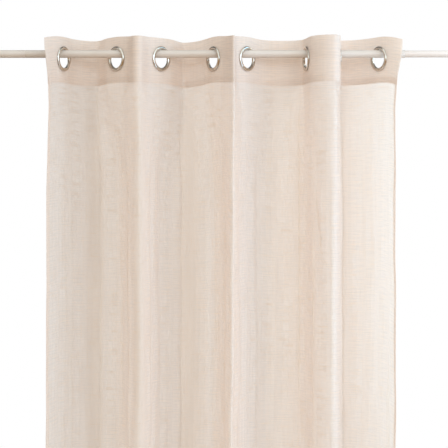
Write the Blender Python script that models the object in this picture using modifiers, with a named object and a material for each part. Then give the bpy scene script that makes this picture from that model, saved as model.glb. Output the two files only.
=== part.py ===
"""Sheer voile curtain panel with eight press-in eyelets, hanging on a telescopic rod.

Metres, +Z up. X runs along the rod, to the right as seen from the front, and +Y
points to the back. The origin is on the rod's axis, above the middle of the panel.

The panel is one cloth. The eyelets hold it at eight stations along the rod, and
between two stations the cloth swings once to the back or once to the front.
At each height a plan curve runs through the stations and the fold tips that the
tables give. Every gap keeps the width of cloth that was cut for it, so how deep a
fold reaches is worked out and not given.
"""

import math
from collections import namedtuple

import bmesh
import bpy
import numpy as np

# The cut panel and its heading
PANEL_WIDTH = 1.400
PANEL_DROP = 2.400
HEADING_HEIGHT = 0.100
BOTTOM_HEM = 0.050
SIDE_HEM = 0.010
EYELET_COUNT = 8
EYELET_SPACING = 0.180
SIDE_MARGIN = (PANEL_WIDTH - (EYELET_COUNT - 1) * EYELET_SPACING) / 2
TOP_ABOVE_EYELET = 0.0480
DOUBLE_THICKNESS = 0.0024
SINGLE_SHARE = 0.62
STEP_IN = 0.002

# The eyelet, a ring of a smooth front, a barrel and a flatter back
EYELET_INNER_RADIUS = 0.0200
EYELET_OUTER_RADIUS = 0.0275
BARREL_WALL = 0.0014
FRONT_HEIGHT = 0.0022
BACK_HEIGHT = 0.0014
EYELET_STEPS = 28

# The rod, a wide tube with a narrow one that slides in its right end
WIDE_DIAMETER = 0.0170
NARROW_DIAMETER = 0.0150
ROD_LEFT = -0.600
ROD_RIGHT = 0.600
WIDE_END = 0.398
SOCKET_DEPTH = 0.060
ROLLED_RIM = 0.0006
ROD_STEPS = 32

# How the pieces hang
GAP = 0.0003
EYELET_DROP = 0.0108
FLAT_HALF = 0.0290
BODY_FLAT_HALF = 0.0080
FLAT_FADE = 0.060
SETTLE_DROP = 0.240
HEM_DRIFT_FROM = 0.250
HANDLE_SHARE = 0.38
CURVE_POINTS = 40
DEPTH_HALVINGS = 40

# How finely the cloth is divided
FLAT_COLUMNS = 4
GAP_COLUMNS = 12
MARGIN_COLUMNS = 4
BODY_DROPS = (0.058, 0.128, 0.218, 0.360, 0.560, 0.820, 1.240, 1.740)

# A station is an eyelet's place on the rod, and the cloth's angle to the rod there,
# in degrees, in the heading, in the body below it and at the hem. It also says how
# far the cloth sinks there.
Station = namedtuple("Station", "head head_angle body body_angle hem hem_angle sink")
STATIONS = (
    Station(-0.3530, 64, -0.3500, 60, -0.3560, 58, 0.0002),
    Station(-0.2365, 47, -0.2190, 74, -0.2290, 66, 0.0000),
    Station(-0.1386, 48, -0.1480, 72, -0.1420, 64, 0.0028),
    Station(-0.0231, 58, -0.0080, 70, -0.0300, 62, 0.0000),
    Station(0.0506, 51, 0.0490, 60, 0.0560, 58, 0.0000),
    Station(0.1815, 79, 0.1830, 72, 0.1740, 68, 0.0030),
    Station(0.2515, 95, 0.2545, 101, 0.2600, 92, 0.0010),
    Station(0.3410, 56, 0.3440, 64, 0.3400, 62, 0.0004),
)

# A fold is the tip between two stations: its place along the rod in the heading, in
# the body and at the hem, how round it is before and after its tip, from a pressed
# crease to a soft swing, and how far the cloth sinks there.
Fold = namedtuple("Fold", "head body hem round_in round_out sink")
FOLDS = (
    Fold(-0.2885, -0.2900, -0.2880, 0.016, 0.014, 0.0030),
    Fold(-0.1855, -0.1810, -0.1830, 0.018, 0.014, 0.0048),
    Fold(-0.0905, -0.0930, -0.0820, 0.007, 0.008, 0.0060),
    Fold(0.0215, 0.0190, -0.0060, 0.005, 0.005, 0.0050),
    Fold(0.1190, 0.1120, 0.1160, 0.024, 0.024, 0.0042),
    Fold(0.2375, 0.2375, 0.2400, 0.020, 0.012, 0.0025),
    Fold(0.2675, 0.2670, 0.2720, 0.014, 0.018, 0.0010),
)

# A margin is the free cloth past an outer eyelet: the angle to the rod that its edge
# has turned to at the top, at the foot of the heading, in the body and at the hem,
# and how far its corner droops.
Margin = namedtuple("Margin", "top foot body hem droop")
LEFT_MARGIN = Margin(49, 76, 64, 60, 0.0075)
RIGHT_MARGIN = Margin(28, 77, 70, 62, 0.0100)

EYELET_HEIGHT = -EYELET_DROP
TOP_HEIGHT = EYELET_HEIGHT + TOP_ABOVE_EYELET
HEADING_FOOT = TOP_HEIGHT - HEADING_HEIGHT
HEM_HEIGHT = TOP_HEIGHT - PANEL_DROP


def smooth(share):
    """Ease from 0 to 1, flat outside."""
    share = min(max(share, 0.0), 1.0)
    return share * share * (3 - 2 * share)


def settle(height, head, body, hem):
    """A value at a height, from what it is in the heading, the body and at the hem."""
    below = HEADING_FOOT - height
    value = head + (body - head) * smooth(below / SETTLE_DROP)
    to_hem = (below - HEM_DRIFT_FROM) / (HEADING_FOOT - HEM_HEIGHT - HEM_DRIFT_FROM)
    return value + (hem - value) * smooth(to_hem)


def side_of(index):
    """The side that the cloth swings to after a station: 1 for the back, else -1."""
    return 1 if index % 2 == 0 else -1


def heading_direction(index):
    """The way the cloth runs through an eyelet in the heading, as an angle about Z."""
    return side_of(index) * math.radians(STATIONS[index].head_angle)


def station_at(index, height):
    """Where the cloth crosses the rod's line at a height, and its direction there."""
    station = STATIONS[index]
    side = side_of(index)
    angle = math.radians(settle(height, station.head_angle, station.body_angle, station.hem_angle))
    place = np.array((settle(height, station.head, station.body, station.hem), 0.0))
    return place, np.array((math.cos(angle), side * math.sin(angle)))


def flat_half(height):
    """Half the width of the flat cloth about a station: wide in the heading only."""
    fade = smooth((HEADING_FOOT - height) / FLAT_FADE)
    return FLAT_HALF + (BODY_FLAT_HALF - FLAT_HALF) * fade


def bezier(start, start_handle, end_handle, end):
    """Points along a cubic curve."""
    t = np.linspace(0, 1, CURVE_POINTS)[:, None]
    return (
        start * (1 - t) ** 3
        + start_handle * 3 * t * (1 - t) ** 2
        + end_handle * 3 * t**2 * (1 - t)
        + end * t**3
    )


def swing(start, leaving, end, arriving, tip, fold):
    """The cloth's path from one flat to the next by way of a fold's tip."""
    along = np.array((1.0, 0.0))
    first = bezier(
        start,
        start + leaving * HANDLE_SHARE * np.linalg.norm(tip - start),
        tip - along * fold.round_in,
        tip,
    )
    second = bezier(
        tip,
        tip + along * fold.round_out,
        end - arriving * HANDLE_SHARE * np.linalg.norm(end - tip),
        end,
    )
    return np.vstack((first, second[1:]))


def length(points):
    """The length of a path."""
    return float(np.linalg.norm(np.diff(points, axis=0), axis=1).sum())


def gap_path(index, height):
    """The path over one gap, with its tip as deep as the cloth in it allows."""
    fold = FOLDS[index]
    side = side_of(index)
    half = flat_half(height)
    left, leaving = station_at(index, height)
    right, arriving = station_at(index + 1, height)
    start = left + leaving * half
    end = right - arriving * half
    spare = EYELET_SPACING - 2 * half
    shallow = 0.0
    deep = EYELET_SPACING
    path = None
    for _ in range(DEPTH_HALVINGS):
        depth = (shallow + deep) / 2
        tip = np.array((settle(height, fold.head, fold.body, fold.hem), side * depth))
        path = swing(start, leaving, end, arriving, tip, fold)
        if length(path) > spare:
            deep = depth
        else:
            shallow = depth
    return path


def margin_path(index, margin, outward, height):
    """The path from an outer station's flat to the panel's side edge."""
    station, direction = station_at(index, height)
    half = flat_half(height)
    free = SIDE_MARGIN - half
    in_heading = smooth((TOP_HEIGHT - height) / HEADING_HEIGHT)
    head = margin.top + (margin.foot - margin.top) * in_heading
    tip = math.radians(settle(height, head, margin.body, margin.hem))
    side = side_of(index)
    at_flat = math.atan2(abs(direction[1]), direction[0])
    angles = np.linspace(at_flat, tip, CURVE_POINTS)
    middles = (angles[1:] + angles[:-1]) / 2
    step = free / (CURVE_POINTS - 1)
    steps = np.column_stack((np.cos(middles), side * np.sin(middles))) * step * outward
    start = station + direction * half * outward
    return np.vstack((start, start + np.cumsum(steps, axis=0)))


def plan_curve(height):
    """The cloth's whole path at a height, from its left edge to its right one."""
    pieces = [margin_path(0, LEFT_MARGIN, -1, height)[::-1]]
    pieces += [gap_path(index, height) for index in range(len(FOLDS))]
    pieces.append(margin_path(len(STATIONS) - 1, RIGHT_MARGIN, 1, height))
    return np.vstack(pieces)


def columns():
    """Places across the flat panel, finer in the folds than beside the eyelets."""
    places = [0.0, SIDE_HEM - STEP_IN, SIDE_HEM]
    inner = SIDE_MARGIN - FLAT_HALF
    places += list(np.linspace(SIDE_HEM, inner, MARGIN_COLUMNS)[1:])
    for index in range(EYELET_COUNT):
        centre = SIDE_MARGIN + index * EYELET_SPACING
        places += list(np.linspace(centre - FLAT_HALF, centre + FLAT_HALF, FLAT_COLUMNS + 1)[1:])
        if index < EYELET_COUNT - 1:
            after = np.linspace(centre + FLAT_HALF, centre + EYELET_SPACING - FLAT_HALF, GAP_COLUMNS + 1)
            places += list(after[1:])
    mirrored = [PANEL_WIDTH - place for place in places[: MARGIN_COLUMNS + 1]]
    return np.array(places + mirrored[::-1])


def row_heights():
    """Heights of the mesh's rows, from the top edge to the hem."""
    heading = [
        TOP_HEIGHT,
        EYELET_HEIGHT + FLAT_HALF,
        EYELET_HEIGHT - FLAT_HALF,
        HEADING_FOOT,
        HEADING_FOOT - STEP_IN,
    ]
    body = [HEADING_FOOT - drop for drop in BODY_DROPS]
    hem_line = HEM_HEIGHT + BOTTOM_HEM
    return heading + body + [hem_line + STEP_IN, hem_line, HEM_HEIGHT]


def sunk(place):
    """How far the cloth sinks at a place across it: least at the eyelets."""
    from_first = place - SIDE_MARGIN
    past_last = place - (PANEL_WIDTH - SIDE_MARGIN)
    if from_first < 0:
        return STATIONS[0].sink + LEFT_MARGIN.droop * (from_first / SIDE_MARGIN) ** 2
    if past_last > 0:
        return STATIONS[-1].sink + RIGHT_MARGIN.droop * (past_last / SIDE_MARGIN) ** 2
    index = min(int(from_first / EYELET_SPACING), len(FOLDS) - 1)
    share = from_first / EYELET_SPACING - index
    at_eyelets = STATIONS[index].sink * (1 - share) + STATIONS[index + 1].sink * share
    in_fold = math.sin(math.pi * share) ** 2
    return at_eyelets + (FOLDS[index].sink - at_eyelets) * in_fold


def add_material(name, colour, roughness, metallic):
    """A Principled material."""
    material = bpy.data.materials.new(name)
    material.use_nodes = True
    shader = material.node_tree.nodes["Principled BSDF"]
    shader.inputs["Base Color"].default_value = (*colour, 1.0)
    shader.inputs["Roughness"].default_value = roughness
    shader.inputs["Metallic"].default_value = metallic
    return material


def add_object(name, mesh, material, collection, parent):
    """A mesh object in a collection, under the part's empty."""
    obj = bpy.data.objects.new(name, mesh)
    collection.objects.link(obj)
    obj.parent = parent
    if material and not mesh.materials:
        mesh.materials.append(material)
    return obj


def turned_mesh(name, profile):
    """A mesh of one open or closed profile, given as (radius, height) points."""
    mesh = bpy.data.meshes.new(name)
    shape = bmesh.new()
    points = [shape.verts.new((radius, 0.0, height)) for radius, height in profile]
    for first, second in zip(points, points[1:]):
        shape.edges.new((first, second))
    if profile[0][0] > 0:
        shape.edges.new((points[-1], points[0]))
    shape.to_mesh(mesh)
    shape.free()
    return mesh


def turn(obj, steps):
    """Turn an object's profile about its own Z."""
    screw = obj.modifiers.new("turn", "SCREW")
    screw.axis = "Z"
    screw.angle = 2 * math.pi
    screw.steps = steps
    screw.render_steps = steps
    screw.use_merge_vertices = True
    screw.merge_threshold = 0.00001
    screw.use_smooth_shade = True


def cloth_mesh():
    """The panel's middle surface, row by row, with its doubled parts in a group."""
    places = columns()
    heights = row_heights()
    drops = np.array([sunk(place) for place in places])
    shape = bmesh.new()
    rows = []
    for height in heights:
        path = plan_curve(height)
        steps = np.linalg.norm(np.diff(path, axis=0), axis=1)
        along = np.concatenate(([0.0], np.cumsum(steps)))
        along *= PANEL_WIDTH / along[-1]
        xs = np.interp(places, along, path[:, 0])
        ys = np.interp(places, along, path[:, 1])
        rows.append([shape.verts.new((x, y, height - drop)) for x, y, drop in zip(xs, ys, drops)])
    for upper, lower in zip(rows, rows[1:]):
        for left in range(len(places) - 1):
            shape.faces.new((upper[left], lower[left], lower[left + 1], upper[left + 1]))
    mesh = bpy.data.meshes.new("voile_panel")
    shape.to_mesh(mesh)
    shape.free()
    edge = SIDE_HEM - STEP_IN / 2
    doubled = []
    for row, height in enumerate(heights):
        whole_row = height >= HEADING_FOOT or height <= HEM_HEIGHT + BOTTOM_HEM
        for column, place in enumerate(places):
            if whole_row or place < edge or place > PANEL_WIDTH - edge:
                doubled.append(row * len(places) + column)
    return mesh, doubled


def build_cloth(collection, cutters, parent, material):
    """The panel: a sheet with thickness, cut where the eyelets go through."""
    mesh, doubled = cloth_mesh()
    cloth = add_object("voile_panel", mesh, material, collection, parent)
    cloth.vertex_groups.new(name="doubled").add(doubled, 1.0, "REPLACE")
    shell = cloth.modifiers.new("thickness", "SOLIDIFY")
    shell.thickness = DOUBLE_THICKNESS
    shell.offset = 0.0
    shell.vertex_group = "doubled"
    shell.thickness_vertex_group = SINGLE_SHARE
    holes = cloth.modifiers.new("eyelet_holes", "BOOLEAN")
    holes.operation = "DIFFERENCE"
    holes.solver = "EXACT"
    holes.operand_type = "COLLECTION"
    holes.collection = cutters
    return cloth


def place_on_station(obj, index):
    """Set an object square to the cloth at an eyelet, its own Z to the front."""
    obj.location = (STATIONS[index].head, 0.0, EYELET_HEIGHT)
    obj.rotation_euler = (math.pi / 2, 0.0, heading_direction(index))


def hole_mesh():
    """A short cylinder, longer than the heading is thick."""
    mesh = bpy.data.meshes.new("eyelet_hole")
    shape = bmesh.new()
    radius = EYELET_INNER_RADIUS + BARREL_WALL + GAP
    bmesh.ops.create_cone(
        shape,
        cap_ends=True,
        segments=EYELET_STEPS,
        radius1=radius,
        radius2=radius,
        depth=4 * DOUBLE_THICKNESS,
    )
    shape.to_mesh(mesh)
    shape.free()
    return mesh


def eyelet_profile():
    """Half a section through the ring: a barrel between a domed front and a flat back."""
    inner = EYELET_INNER_RADIUS
    outer = EYELET_OUTER_RADIUS
    barrel = inner + BARREL_WALL
    groove = DOUBLE_THICKNESS / 2 + GAP
    front = groove + FRONT_HEIGHT
    back = groove + BACK_HEIGHT
    middle = (inner + outer) / 2
    reach = (outer - inner) / 2
    lean = math.radians(45)
    return (
        (inner, groove),
        (middle - reach * math.cos(lean), groove + FRONT_HEIGHT * math.sin(lean)),
        (middle, front),
        (middle + reach * math.cos(lean), groove + FRONT_HEIGHT * math.sin(lean)),
        (outer, groove),
        (barrel, groove),
        (barrel, -groove),
        (outer, -groove),
        (outer - BACK_HEIGHT / 2, -back),
        (inner + BACK_HEIGHT / 2, -back),
        (inner, -groove),
    )


def build_eyelets(collection, cutters, parent, material):
    """Eight rings and the holes that they go through."""
    ring = turned_mesh("eyelet", eyelet_profile())
    hole = hole_mesh()
    for index in range(EYELET_COUNT):
        eyelet = add_object(f"eyelet_{index + 1}", ring, material, collection, parent)
        turn(eyelet, EYELET_STEPS)
        place_on_station(eyelet, index)
        cutter = add_object(f"eyelet_{index + 1}_hole", hole, None, cutters, parent)
        place_on_station(cutter, index)
        cutter.hide_render = True
        cutter.display_type = "WIRE"


def build_rod(collection, parent, wide_material, narrow_material):
    """Two plain round bars, the narrow one in a socket in the wide one's end."""
    wide = WIDE_DIAMETER / 2
    narrow = NARROW_DIAMETER / 2
    bore = narrow + GAP
    socket_foot = WIDE_END - SOCKET_DEPTH
    wide_profile = (
        (0.0, socket_foot),
        (bore, socket_foot),
        (bore, WIDE_END),
        (wide - ROLLED_RIM / 2, WIDE_END),
        (wide, WIDE_END - ROLLED_RIM),
        (wide, ROD_LEFT),
        (0.0, ROD_LEFT),
    )
    narrow_profile = (
        (0.0, ROD_RIGHT),
        (narrow, ROD_RIGHT),
        (narrow, socket_foot + GAP),
        (0.0, socket_foot + GAP),
    )
    pieces = (
        ("rod_wide_tube", wide_profile, wide_material),
        ("rod_narrow_tube", narrow_profile, narrow_material),
    )
    for name, profile, material in pieces:
        bar = add_object(name, turned_mesh(name, profile), material, collection, parent)
        turn(bar, ROD_STEPS)
        bar.rotation_euler = (0.0, math.pi / 2, 0.0)


def main():
    """Clear the scene and build the curtain and its rod."""
    for obj in list(bpy.data.objects):
        bpy.data.objects.remove(obj, do_unlink=True)
    curtain = bpy.data.collections.new("voile_curtain")
    cutters = bpy.data.collections.new("cutters")
    for collection in (curtain, cutters):
        bpy.context.scene.collection.children.link(collection)
    origin = bpy.data.objects.new("curtain_origin", None)
    curtain.objects.link(origin)

    voile = add_material("voile", (0.80, 0.73, 0.65), 0.9, 0.0)
    nickel = add_material("eyelet_nickel", (0.62, 0.58, 0.54), 0.15, 1.0)
    greige = add_material("rod_greige_paint", (0.55, 0.49, 0.42), 0.4, 0.0)
    white = add_material("rod_white_paint", (0.82, 0.80, 0.76), 0.4, 0.0)

    build_eyelets(curtain, cutters, origin, nickel)
    build_cloth(curtain, cutters, origin, voile)
    build_rod(curtain, origin, greige, white)


main()
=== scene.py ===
"""Sheer linen-look voile curtain with pressed eyelets, hanging on a telescopic rod.

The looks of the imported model. Metres, +Z up. X runs along the rod, to the right as
seen from the front, and +Y points to the back. The origin is on the rod's axis,
above the middle of the panel.
"""

import logging
import math
from dataclasses import dataclass, replace
from enum import Enum
from functools import lru_cache

import bmesh
import bpy
import numpy as np
from mathutils import Matrix, Vector


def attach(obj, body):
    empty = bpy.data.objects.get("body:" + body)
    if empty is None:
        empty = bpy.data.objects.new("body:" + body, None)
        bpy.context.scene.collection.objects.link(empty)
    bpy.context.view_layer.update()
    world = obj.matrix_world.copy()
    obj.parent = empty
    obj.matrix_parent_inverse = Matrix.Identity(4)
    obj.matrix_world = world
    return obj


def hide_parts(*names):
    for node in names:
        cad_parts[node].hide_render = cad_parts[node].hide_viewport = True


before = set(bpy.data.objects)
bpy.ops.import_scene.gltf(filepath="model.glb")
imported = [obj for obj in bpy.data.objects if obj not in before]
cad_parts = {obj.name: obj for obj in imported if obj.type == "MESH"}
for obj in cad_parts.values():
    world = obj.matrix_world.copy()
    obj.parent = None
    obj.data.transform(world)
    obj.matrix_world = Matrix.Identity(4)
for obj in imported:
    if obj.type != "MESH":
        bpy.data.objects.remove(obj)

LOG = logging.getLogger("voile_curtain")
BODY = "root"
MM = 0.001
CUT_UV = "cut_cloth"
# The attribute that says how much denser the cloth is drawn: where it turns away from the front,
# and along its creases, where it is painted shade, with painted light on some ridges.
CROWDING_AND_SHADE = "crowding_and_shade"

# Distances that count as none: between points of a path and between places. The
# last one only keeps a division from failing.
SAME_POINT = 1e-7
SAME_PLACE = 1e-6
NOTHING = 1e-9


class Swing(Enum):
    """Which way the cloth goes between two eyelets."""

    TO_BACK = 1
    TO_FRONT = -1


class Edge(Enum):
    """An edge that the cloth is turned over at."""

    TOP = "top"
    BOTTOM = "bottom"
    LEFT = "left"
    RIGHT = "right"


# ---------------------------------------------------------------- the cut and the folds


@dataclass(frozen=True)
class PanelCut:
    """The panel as it is sewn, before it is hung."""

    width: float = 1.400
    drop: float = 2.400
    heading: float = 0.100
    tucked: float = 0.014
    bottom_hem: float = 0.050
    side_hem: float = 0.010
    eyelets: int = 8
    spacing: float = 0.180
    top_above_eyelet: float = 0.0480
    eyelet_below_rod: float = 0.0108

    @property
    def margin(self) -> float:
        """The free cloth past an outer eyelet."""
        return (self.width - (self.eyelets - 1) * self.spacing) / 2

    @property
    def eyelet_height(self) -> float:
        """The height of the eyelets' centres."""
        return -self.eyelet_below_rod

    @property
    def top(self) -> float:
        """The height of the top edge."""
        return self.eyelet_height + self.top_above_eyelet

    @property
    def heading_foot(self) -> float:
        """The height of the line where the heading is sewn down."""
        return self.top - self.heading

    @property
    def hem(self) -> float:
        """The height of the bottom edge."""
        return self.top - self.drop

    @property
    def hem_line(self) -> float:
        """The height of the line where the bottom hem is sewn down."""
        return self.hem + self.bottom_hem

    def eyelet_place(self, index: int) -> float:
        """An eyelet's place across the cut panel, from its left edge."""
        return self.margin + index * self.spacing


@dataclass(frozen=True)
class Station:
    """An eyelet's place on the rod and the cloth's angle to the rod there, in degrees,
    in the heading, in the body below it and at the hem, and how far the cloth sinks."""

    head: float
    head_angle: float
    body: float
    body_angle: float
    hem: float
    hem_angle: float
    sink: float


@dataclass(frozen=True)
class Fold:
    """The tip between two stations: its place along the rod in the heading, the body
    and at the hem, how round it is before and after its tip, and how far it sinks."""

    head: float
    body: float
    hem: float
    round_in: float
    round_out: float
    sink: float


@dataclass(frozen=True)
class Margin:
    """The free cloth past an outer eyelet: the angle to the rod that its edge turns to
    at the top, the heading's foot, in the body and at the hem, and its corner's droop."""

    top: float
    foot: float
    body: float
    hem: float
    droop: float


@dataclass(frozen=True)
class Crease:
    """A ridge or trough that runs down the cloth.

    It is given by its place across the cut panel, its width, how far it stands
    out to the front, where it starts and ends below the top edge, how far it drifts
    sideways on its way down, how much denser the cloth is drawn along it, and whether
    it is a pressed line that wanders a little and not a soft wave. The denser drawing
    is partly threads that stand closer and partly painted shade in its trough and in the
    valley and tip of a fold; below 0 it is painted light on a ridge. One with no height
    is only a band of painted shade. It eases in and out over a share of its length, up
    to a given one.
    """

    across: float
    width: float
    height: float
    start: float
    end: float
    drift: float = 0.0
    # Painted shade where above 0 and painted light where below 0, together with threads that stand
    # closer.
    closed: float = 0.0
    pressed: bool = False
    ease: float = 0.20
    ease_share: float = 0.35
    wander: float = 0.0012
    wander_length: float = 0.230

    def centre(self, below: float) -> float:
        """Its place across the cut panel.

        Args:
            below: how far below the top edge to look.

        Returns:
            The place of its line, from the panel's left edge.
        """
        down = below - self.start
        sway = self.wander * math.sin(math.tau * down / self.wander_length) if self.pressed else 0.0
        return self.across + self.drift * down / (self.end - self.start) + sway

    def profile(self, places: np.ndarray, below: float) -> np.ndarray:
        """Its section along a row.

        Args:
            places: places across the cut panel.
            below: how far below the top edge the row is.

        Returns:
            For each place, from 0 where the crease isn't to 1 on its line.
        """
        ease = min(self.ease_share * (self.end - self.start), self.ease)
        share = smooth((below - self.start) / ease) * smooth((self.end - below) / ease)
        offset = np.abs(places - self.centre(below)) / (self.width / 2)
        return share * np.exp(-(offset if self.pressed else offset**2))


@dataclass(frozen=True)
class Ripple:
    """Uneven waves over the body of the cloth: how wide and how long they are, how far
    they stand out, and how far they lean to the side and back on their way down. Each
    is two waves, and the second is e times as wide, so that they never fall into step."""

    width: float
    length: float
    height: float
    lean: float

    def wave(self, places: np.ndarray, below: float) -> np.ndarray:
        """How far it stands out to the front.

        Args:
            places: places across the cut panel.
            below: how far below the top edge the row is.

        Returns:
            A distance for each place.
        """
        lean = self.lean * math.sin(math.tau * below / self.length)
        first = np.sin(math.tau * places / self.width + lean)
        second = np.sin(math.tau * places / (self.width * math.e) - lean * math.e)
        return self.height * first * second


def smooth(share: float) -> float:
    """Ease from 0 to 1, flat outside."""
    share = min(max(share, 0.0), 1.0)
    return share * share * (3 - 2 * share)


def bezier(points: tuple[np.ndarray, ...], count: int) -> np.ndarray:
    """Points along a cubic curve.

    Args:
        points: the start, its handle, the end's handle and the end.
        count: how many points to give.

    Returns:
        The points, one a row.
    """
    start, start_handle, end_handle, end = points
    t = np.linspace(0, 1, count)[:, None]
    return (
        start * (1 - t) ** 3
        + start_handle * 3 * t * (1 - t) ** 2
        + end_handle * 3 * t**2 * (1 - t)
        + end * t**3
    )


def read_along(values: np.ndarray, run: np.ndarray, stops: np.ndarray) -> np.ndarray:
    """Read values at some distances along a path.

    Args:
        values: a row of values for each point of the path.
        run: how far along the path each point is.
        stops: the distances to read at.

    Returns:
        A row of values for each stop.
    """
    return np.column_stack([np.interp(stops, run, column) for column in values.T])


def path_length(points: np.ndarray) -> float:
    """The length of a path."""
    return float(np.linalg.norm(np.diff(points, axis=0), axis=1).sum())


@dataclass(frozen=True)
class FoldPlan:
    """How the panel swings between its eyelets, as a plan curve at each height.

    The cloth runs through a station at each eyelet and through a fold's tip between
    two of them. Each gap keeps the width of cloth that was cut for it, so how deep
    a fold reaches is worked out from its width, by halving the doubt about it. About
    a station the cloth is flat, wide in the heading and less so in the body. Below
    the heading it settles into the body's places, and from there it drifts to the
    hem's.
    """

    cut: PanelCut
    stations: tuple[Station, ...] = (
        Station(-0.3530, 64, -0.3500, 60, -0.3560, 58, 0.0002),
        Station(-0.2365, 47, -0.2190, 74, -0.2290, 66, 0.0000),
        Station(-0.1386, 48, -0.1480, 72, -0.1420, 64, 0.0028),
        Station(-0.0231, 58, -0.0080, 70, -0.0300, 62, 0.0000),
        Station(0.0506, 51, 0.0490, 60, 0.0560, 58, 0.0000),
        Station(0.1815, 79, 0.1830, 72, 0.1740, 68, 0.0030),
        Station(0.2515, 95, 0.2545, 101, 0.2600, 92, 0.0010),
        Station(0.3410, 56, 0.3440, 64, 0.3400, 62, 0.0004),
    )
    folds: tuple[Fold, ...] = (
        Fold(-0.2885, -0.2900, -0.2880, 0.016, 0.014, 0.0030),
        Fold(-0.1855, -0.1810, -0.1830, 0.018, 0.014, 0.0048),
        Fold(-0.0905, -0.0930, -0.0820, 0.007, 0.008, 0.0060),
        Fold(0.0215, 0.0190, -0.0060, 0.005, 0.005, 0.0050),
        Fold(0.1190, 0.1120, 0.1160, 0.024, 0.024, 0.0042),
        Fold(0.2375, 0.2375, 0.2400, 0.020, 0.012, 0.0025),
        Fold(0.2675, 0.2670, 0.2720, 0.014, 0.018, 0.0010),
    )
    left: Margin = Margin(49, 76, 64, 60, 0.0075)
    right: Margin = Margin(28, 77, 70, 62, 0.0100)
    flat_half: float = 0.0290
    body_flat_half: float = 0.0080
    flat_fade: float = 0.060
    settle_drop: float = 0.240
    hem_drift_from: float = 0.250
    handle_share: float = 0.38
    curve_points: int = 40
    depth_halvings: int = 30

    def swing(self, index: int) -> Swing:
        """Which way the cloth goes after a station."""
        return Swing.TO_BACK if index % 2 == 0 else Swing.TO_FRONT

    def settle(self, height: float, head: float, body: float, hem: float) -> float:
        """A value at a height.

        Args:
            height: the height that it is wanted at.
            head: the value in the heading.
            body: the value in the body.
            hem: the value at the hem.

        Returns:
            The value, eased from one to the next.
        """
        foot = self.cut.heading_foot
        below = foot - height
        value = head + (body - head) * smooth(below / self.settle_drop)
        to_hem = (below - self.hem_drift_from) / (foot - self.cut.hem - self.hem_drift_from)
        return value + (hem - value) * smooth(to_hem)

    def heading_direction(self, index: int) -> float:
        """The way the cloth runs through an eyelet in the heading, as an angle about Z."""
        return self.swing(index).value * math.radians(self.stations[index].head_angle)

    def station_at(self, index: int, height: float) -> tuple[np.ndarray, np.ndarray]:
        """Where the cloth crosses the rod's line.

        Args:
            index: the station's number from the left.
            height: the height to look at.

        Returns:
            The place and the cloth's direction there, both as (x, y).
        """
        station = self.stations[index]
        angle = math.radians(
            self.settle(height, station.head_angle, station.body_angle, station.hem_angle)
        )
        place = np.array((self.settle(height, station.head, station.body, station.hem), 0.0))
        return place, np.array((math.cos(angle), self.swing(index).value * math.sin(angle)))

    def flat_at(self, height: float) -> float:
        """Half the width of the flat cloth about a station: wide in the heading only."""
        fade = smooth((self.cut.heading_foot - height) / self.flat_fade)
        return self.flat_half + (self.body_flat_half - self.flat_half) * fade

    def gap_path(self, index: int, height: float) -> np.ndarray:
        """The path over one gap, with its tip as deep as the cloth in it allows.

        Args:
            index: the gap's number from the left.
            height: the height to look at.

        Returns:
            The path's points as (x, y) rows.
        """
        fold = self.folds[index]
        half = self.flat_at(height)
        left, leaving = self.station_at(index, height)
        right, arriving = self.station_at(index + 1, height)
        start = left + leaving * half
        end = right - arriving * half
        along = np.array((1.0, 0.0))
        spare = self.cut.spacing - 2 * half
        shallow, deep = 0.0, self.cut.spacing
        path = np.empty((0, 2))
        for _ in range(self.depth_halvings):
            depth = (shallow + deep) / 2
            tip_x = self.settle(height, fold.head, fold.body, fold.hem)
            tip = np.array((tip_x, self.swing(index).value * depth))
            leave = start + leaving * self.handle_share * np.linalg.norm(tip - start)
            arrive = end - arriving * self.handle_share * np.linalg.norm(end - tip)
            first = bezier((start, leave, tip - along * fold.round_in, tip), self.curve_points)
            second = bezier((tip, tip + along * fold.round_out, arrive, end), self.curve_points)
            path = np.vstack((first, second[1:]))
            if path_length(path) > spare:
                deep = depth
            else:
                shallow = depth
        return path

    def margin_path(self, index: int, outward: int, height: float) -> np.ndarray:
        """The path from an outer station's flat to the panel's side edge.

        Args:
            index: the outer station's number.
            outward: -1 for the left margin, 1 for the right one.
            height: the height to look at.

        Returns:
            The path's points as (x, y) rows, from the station outwards.
        """
        margin = self.left if outward < 0 else self.right
        station, direction = self.station_at(index, height)
        half = self.flat_at(height)
        in_heading = smooth((self.cut.top - height) / self.cut.heading)
        head = margin.top + (margin.foot - margin.top) * in_heading
        tip = math.radians(self.settle(height, head, margin.body, margin.hem))
        at_flat = math.atan2(abs(direction[1]), direction[0])
        angles = np.linspace(at_flat, tip, self.curve_points)
        middles = (angles[1:] + angles[:-1]) / 2
        step = (self.cut.margin - half) / (self.curve_points - 1) * outward
        side = self.swing(index).value
        steps = np.column_stack((np.cos(middles), side * np.sin(middles))) * step
        start = station + direction * half * outward
        return np.vstack((start, start + np.cumsum(steps, axis=0)))

    @lru_cache(maxsize=None)
    def path_at(self, height: float) -> tuple[np.ndarray, np.ndarray]:
        """The cloth's whole path at a height.

        Args:
            height: the height to look at.

        Returns:
            How far along the cut panel each point is, and the points as (x, y) rows.
        """
        last = len(self.stations) - 1
        pieces = [self.margin_path(0, -1, height)[::-1]]
        pieces += [self.gap_path(index, height) for index in range(len(self.folds))]
        pieces.append(self.margin_path(last, 1, height))
        path = np.vstack(pieces)
        steps = np.linalg.norm(np.diff(path, axis=0), axis=1)
        along = np.concatenate(([0.0], np.cumsum(steps)))
        along *= self.cut.width / along[-1]
        keep = np.concatenate(([True], np.diff(along) > SAME_POINT))
        return along[keep], path[keep]

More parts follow.
